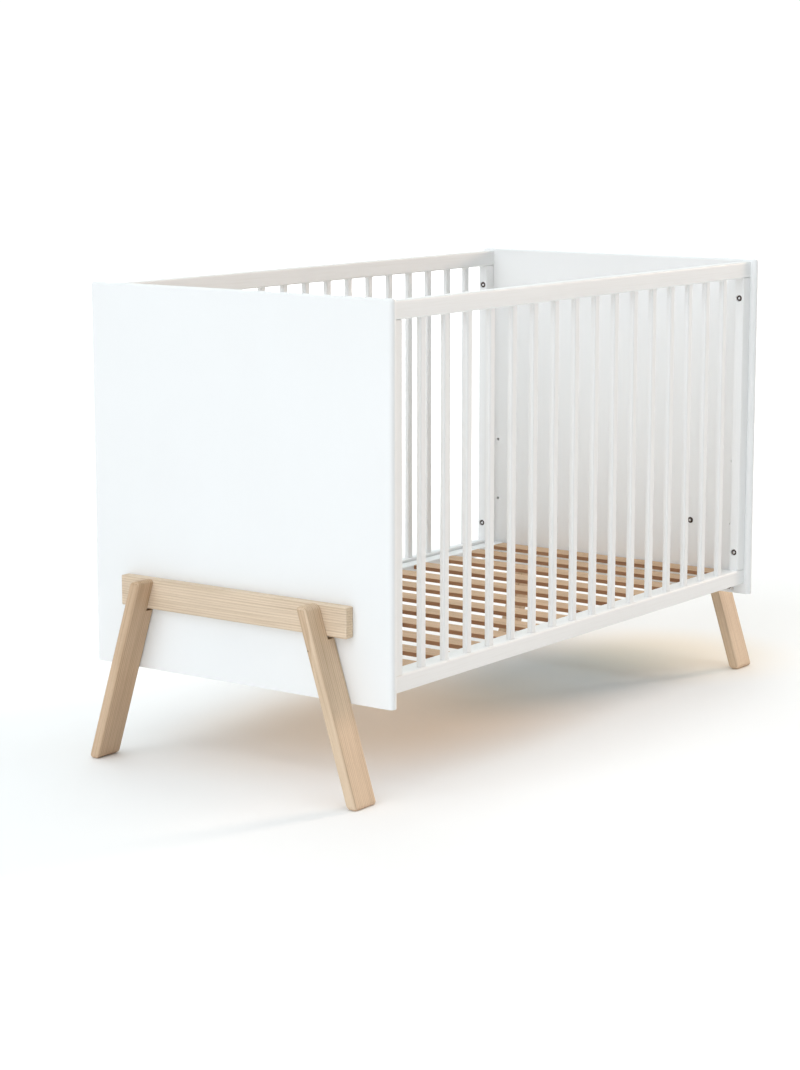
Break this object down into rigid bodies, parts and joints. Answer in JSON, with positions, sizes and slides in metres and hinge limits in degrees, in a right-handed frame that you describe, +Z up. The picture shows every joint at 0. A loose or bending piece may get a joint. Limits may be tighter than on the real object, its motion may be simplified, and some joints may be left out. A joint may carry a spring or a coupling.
{
  "type": "baby crib",
  "caption": "Rectangular baby crib with solid end panels, barred sides, splayed timber legs on cross beams and a slatted bed base set at one of three heights.",
  "frame": {"origin": "on the floor, under the middle of the crib", "axes": "+X along the crib from the left end panel to the right one, +Y across it from the front side to the back side, +Z up"},
  "size_m": [1.366, 0.665, 0.85],
  "materials": {
    "white_paint": "satin white paint on wood",
    "leg_wood": "clear matt varnish on pale wood",
    "slat_wood": "unfinished planed wood",
    "steel": "zinc plated"
  },
  "bodies": {
    "crib_frame": {"end_panel_left": "white_paint", "leg_beam_left": "leg_wood", "end_panel_right": "white_paint", "leg_beam_right": "leg_wood", "top_rail_front": "white_paint", "bottom_rail_front": "white_paint", "bar_front_01": "white_paint", "bar_front_02": "white_paint", "bar_front_03": "white_paint", "bar_front_04": "white_paint", "bar_front_05": "white_paint", "bar_front_06": "white_paint", "bar_front_07": "white_paint", "bar_front_08": "white_paint", "bar_front_09": "white_paint", "bar_front_10": "white_paint", "bar_front_11": "white_paint", "bar_front_12": "white_paint", "bar_front_13": "white_paint", "bar_front_14": "white_paint", "bar_front_15": "white_paint", "bar_front_16": "white_paint", "stile_left_front": "white_paint", "leg_left_front": "leg_wood", "leg_bolt_left_front": "steel", "stile_right_front": "white_paint", "leg_right_front": "leg_wood", "leg_bolt_right_front": "steel", "top_rail_back": "white_paint", "bottom_rail_back": "white_paint", "bar_back_01": "white_paint", "bar_back_02": "white_paint", "bar_back_03": "white_paint", "bar_back_04": "white_paint", "bar_back_05": "white_paint", "bar_back_06": "white_paint", "bar_back_07": "white_paint", "bar_back_08": "white_paint", "bar_back_09": "white_paint", "bar_back_10": "white_paint", "bar_back_11": "white_paint", "bar_back_12": "white_paint", "bar_back_13": "white_paint", "bar_back_14": "white_paint", "bar_back_15": "white_paint", "bar_back_16": "white_paint", "stile_left_back": "white_paint", "leg_left_back": "leg_wood", "leg_bolt_left_back": "steel", "stile_right_back": "white_paint", "leg_right_back": "leg_wood", "leg_bolt_right_back": "steel"},
    "bed_base": {"base_bracket_left_front": "steel", "base_bracket_right_front": "steel", "base_bracket_left_back": "steel", "base_bracket_right_back": "steel", "slatted_base": "slat_wood"}
  },
  "joints": [
    {"name": "base_height", "type": "slide", "parent": "crib_frame", "child": "bed_base", "axis": [0, 0, 1], "range_m": [0, 0.258]}
  ]
}
